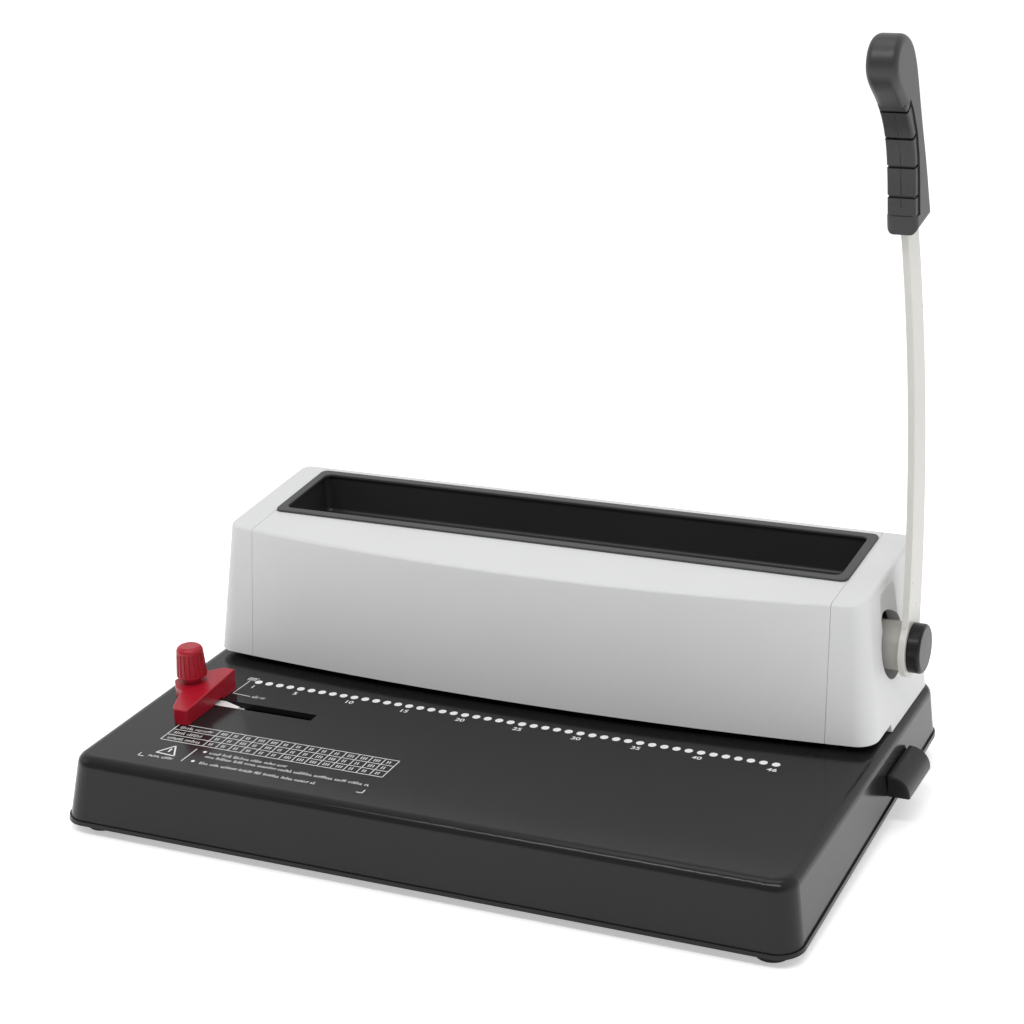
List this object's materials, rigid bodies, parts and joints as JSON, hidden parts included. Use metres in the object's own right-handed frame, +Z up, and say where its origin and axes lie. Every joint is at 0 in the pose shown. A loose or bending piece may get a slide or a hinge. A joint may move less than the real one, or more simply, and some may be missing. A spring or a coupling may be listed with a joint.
{
  "type": "coil binding punch",
  "caption": "Desktop coil binding punch: black base with paper table and red edge guide, white housing over the punch row, open top trough, side lever with moulded grip, pull-out waste tray.",
  "frame": {"origin": "centre of the bounding box in X and Y, on the plane of the feet's undersides", "axes": "+X along the row of punch pins towards the lever, +Y from the front of the paper table to the back, +Z up"},
  "size_m": [0.3952, 0.2346, 0.3843],
  "materials": {
    "base_black": "satin moulded, softly reflective",
    "bottom_black": "matt black paint on sheet steel",
    "foot_rubber": "matt",
    "shell_white": "satin moulded",
    "trough_black": "matt moulded",
    "rim_grey": "fine-grained, satin",
    "frame_steel": "rolled, lightly oiled",
    "tool_steel": "ground",
    "zinc_steel": "zinc plated",
    "bush_brass": "turned",
    "lever_cream": "smooth gloss enamel",
    "hub_grey": "turned, warm grey",
    "grip_black": "satin moulded",
    "cap_black": "satin moulded",
    "guide_red": "smooth, semi-gloss",
    "strip_nickel": "nickel plated"
  },
  "bodies": {
    "chassis": {"base_shell": "base_black", "base_bottom_plate": "bottom_black", "bottom_screws": "zinc_steel", "rubber_feet": "foot_rubber", "foot_screws": "zinc_steel", "front_cover": "shell_white", "rear_cover": "shell_white", "rear_screws": "zinc_steel", "left_end_cap": "shell_white", "right_end_cap": "shell_white", "coil_trough": "trough_black", "trough_rim": "rim_grey", "side_frame_left": "frame_steel", "side_frame_right": "frame_steel", "shaft_bush_left": "bush_brass", "shaft_bush_right": "bush_brass", "frame_screws": "zinc_steel", "top_tie_bar": "frame_steel", "die_plate": "tool_steel", "upper_guide_plate": "tool_steel", "paper_stop": "frame_steel", "guide_posts": "tool_steel", "return_spring_left": "zinc_steel", "return_spring_right": "zinc_steel", "tray_runner_front": "trough_black", "tray_runner_rear": "trough_black", "tray_ledge_front": "trough_black", "tray_ledge_rear": "trough_black"},
    "press": {"pin_holder": "frame_steel", "press_bar": "frame_steel", "rack_screws": "zinc_steel", "punch_pins": "tool_steel", "rack_left": "tool_steel", "rack_right": "tool_steel"},
    "lever": {"drive_shaft": "tool_steel", "pinion_left": "tool_steel", "pinion_right": "tool_steel", "shaft_collar_left": "zinc_steel", "shaft_collar_right": "zinc_steel", "lever_hub": "hub_grey", "lever_screw": "zinc_steel", "lever_arm": "lever_cream", "boss_cap": "cap_black", "lever_grip": "grip_black"},
    "tray": {"waste_tray": "trough_black", "tray_pull": "cap_black"},
    "guide": {"guide_body": "guide_red", "guide_slide_plate": "strip_nickel"},
    "knob": {"guide_knob": "guide_red", "guide_screw": "zinc_steel"}
  },
  "joints": [
    {"name": "lever_pivot", "type": "hinge", "parent": "chassis", "child": "lever", "pos_m": [0.14887, 0.06026, 0.0815], "axis": [1, 0, 0], "range_deg": [0, 72], "stiffness_Nm_per_rad": 0.5, "springref_deg": -22.92},
    {"name": "punch_slide", "type": "slide", "parent": "chassis", "child": "press", "axis": [0, 0, -1], "range_m": [0, 0.0111], "deforming": ["return_spring_left", "return_spring_right"]},
    {"name": "tray_slide", "type": "slide", "parent": "chassis", "child": "tray", "axis": [1, 0, 0], "range_m": [0, 0.3]},
    {"name": "guide_slide", "type": "slide", "parent": "chassis", "child": "guide", "axis": [1, 0, 0], "range_m": [0, 0.042]},
    {"name": "knob_turn", "type": "hinge", "parent": "guide", "child": "knob", "pos_m": [-0.16633, -0.03424, 0.0545], "axis": [0, 0, 1], "range_deg": [0, 360]}
  ],
  "couplings": [
    {"joint": "punch_slide", "follows": "lever_pivot", "m_per_rad": 0.00875}
  ]
}
